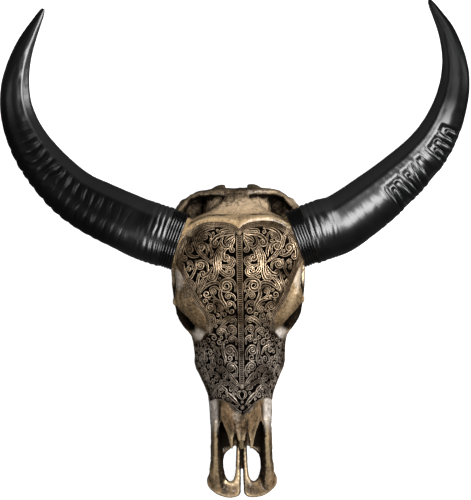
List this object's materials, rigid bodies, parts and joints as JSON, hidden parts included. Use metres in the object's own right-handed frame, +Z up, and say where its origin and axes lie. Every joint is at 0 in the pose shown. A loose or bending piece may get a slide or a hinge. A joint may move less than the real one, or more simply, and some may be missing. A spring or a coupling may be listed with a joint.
{
  "type": "carved buffalo skull",
  "caption": "Life-size water buffalo skull with pierced scroll carving over forehead and face, bronze-toned bone, polished black horns and black cord wound round the horn roots.",
  "frame": {"origin": "middle of the footprint at floor height", "axes": "+Z up, through the forehead; the snout points to -Y and the horn tips to +Y; +X is the side on the right in a view from above with the horns at the top"},
  "size_m": [0.7731, 0.8247, 0.2086],
  "materials": {
    "carved_bone": "carved bone with a bronze-brown lacquer, dark in the carving, rubbed gold on the ridges",
    "horn": "polished black horn, wrinkled across near the root",
    "binding_cord": "black waxed cord wound side by side"
  },
  "bodies": {
    "root": {"occipital_bone": "carved_bone", "nasal_bone_left": "carved_bone", "nasal_bone_right": "carved_bone", "premaxilla_left": "carved_bone", "premaxilla_right": "carved_bone", "maxilla_with_teeth_left": "carved_bone", "maxilla_with_teeth_right": "carved_bone", "cheek_bone_left": "carved_bone", "cheek_bone_right": "carved_bone", "cranium": "carved_bone", "horn_left": "horn", "horn_right": "horn", "horn_binding_left": "binding_cord", "horn_binding_right": "binding_cord"}
  },
  "joints": []
}
